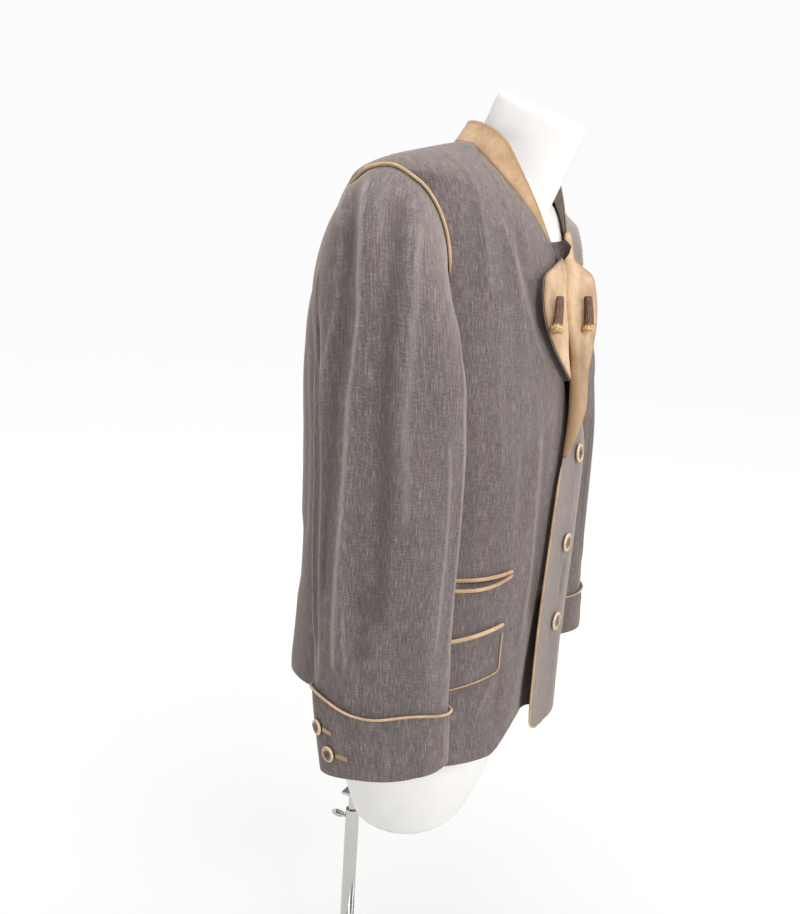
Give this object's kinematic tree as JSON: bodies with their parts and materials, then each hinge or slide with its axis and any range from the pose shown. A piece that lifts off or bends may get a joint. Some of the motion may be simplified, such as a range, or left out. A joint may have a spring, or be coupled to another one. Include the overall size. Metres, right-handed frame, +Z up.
{
  "type": "alpine jacket on a dress form",
  "caption": "Buttoned cloth jacket with leather collar, lapels and piping, worn by a limbless dress form that stands on a rod in a tube with a round base.",
  "frame": {"origin": "centre of the base plate's underside, on the floor", "axes": "+Z up, the jacket's front faces -Y, the wearer's left is +X"},
  "size_m": [0.6682, 0.375, 1.2942],
  "materials": {
    "taupe_cloth": "matt slubbed twill",
    "tan_leather": "nubuck",
    "horn": "polished horn",
    "antler": "ridged antler",
    "form_white": "smooth white",
    "chrome": "polished",
    "base_steel": "brushed"
  },
  "bodies": {
    "stand": {"base_plate": "base_steel", "base_socket": "base_steel", "stand_tube": "chrome"},
    "form_and_jacket": {"back": "taupe_cloth", "collar_leather": "tan_leather", "collar_lining": "taupe_cloth", "dress_form": "form_white", "form_strap": "base_steel", "front_button_1": "horn", "front_button_2": "horn", "front_button_3": "horn", "front_edge_piping": "tan_leather", "left_armhole_piping": "tan_leather", "left_buttonhole_1": "tan_leather", "left_buttonhole_2": "tan_leather", "left_cuff": "taupe_cloth", "left_cuff_button_1": "horn", "left_cuff_button_2": "horn", "left_cuff_piping": "tan_leather", "left_front": "taupe_cloth", "left_lapel": "tan_leather", "left_patch": "taupe_cloth", "left_patch_band": "tan_leather", "left_patch_edge": "tan_leather", "left_pocket_lip_lower": "tan_leather", "left_pocket_lip_upper": "tan_leather", "left_sleeve": "taupe_cloth", "left_toggle": "antler", "right_armhole_piping": "tan_leather", "right_buttonhole_1": "tan_leather", "right_buttonhole_2": "tan_leather", "right_cuff": "taupe_cloth", "right_cuff_button_1": "horn", "right_cuff_button_2": "horn", "right_cuff_piping": "tan_leather", "right_front": "taupe_cloth", "right_lapel": "tan_leather", "right_patch": "taupe_cloth", "right_patch_band": "tan_leather", "right_patch_edge": "tan_leather", "right_pocket_lip_lower": "tan_leather", "right_pocket_lip_upper": "tan_leather", "right_sleeve": "taupe_cloth", "right_toggle": "antler", "rod": "chrome"},
    "wing_screw": {"wing_screw": "chrome"}
  },
  "joints": [
    {"name": "stand_height", "type": "slide", "parent": "stand", "child": "form_and_jacket", "axis": [0, 0, 1], "range_m": [-0.02, 0.1]},
    {"name": "wing_screw_turn", "type": "hinge", "parent": "stand", "child": "wing_screw", "pos_m": [-0.015, 0.093, 0.271], "axis": [0, 1, 0], "range_deg": [0, 360]}
  ]
}
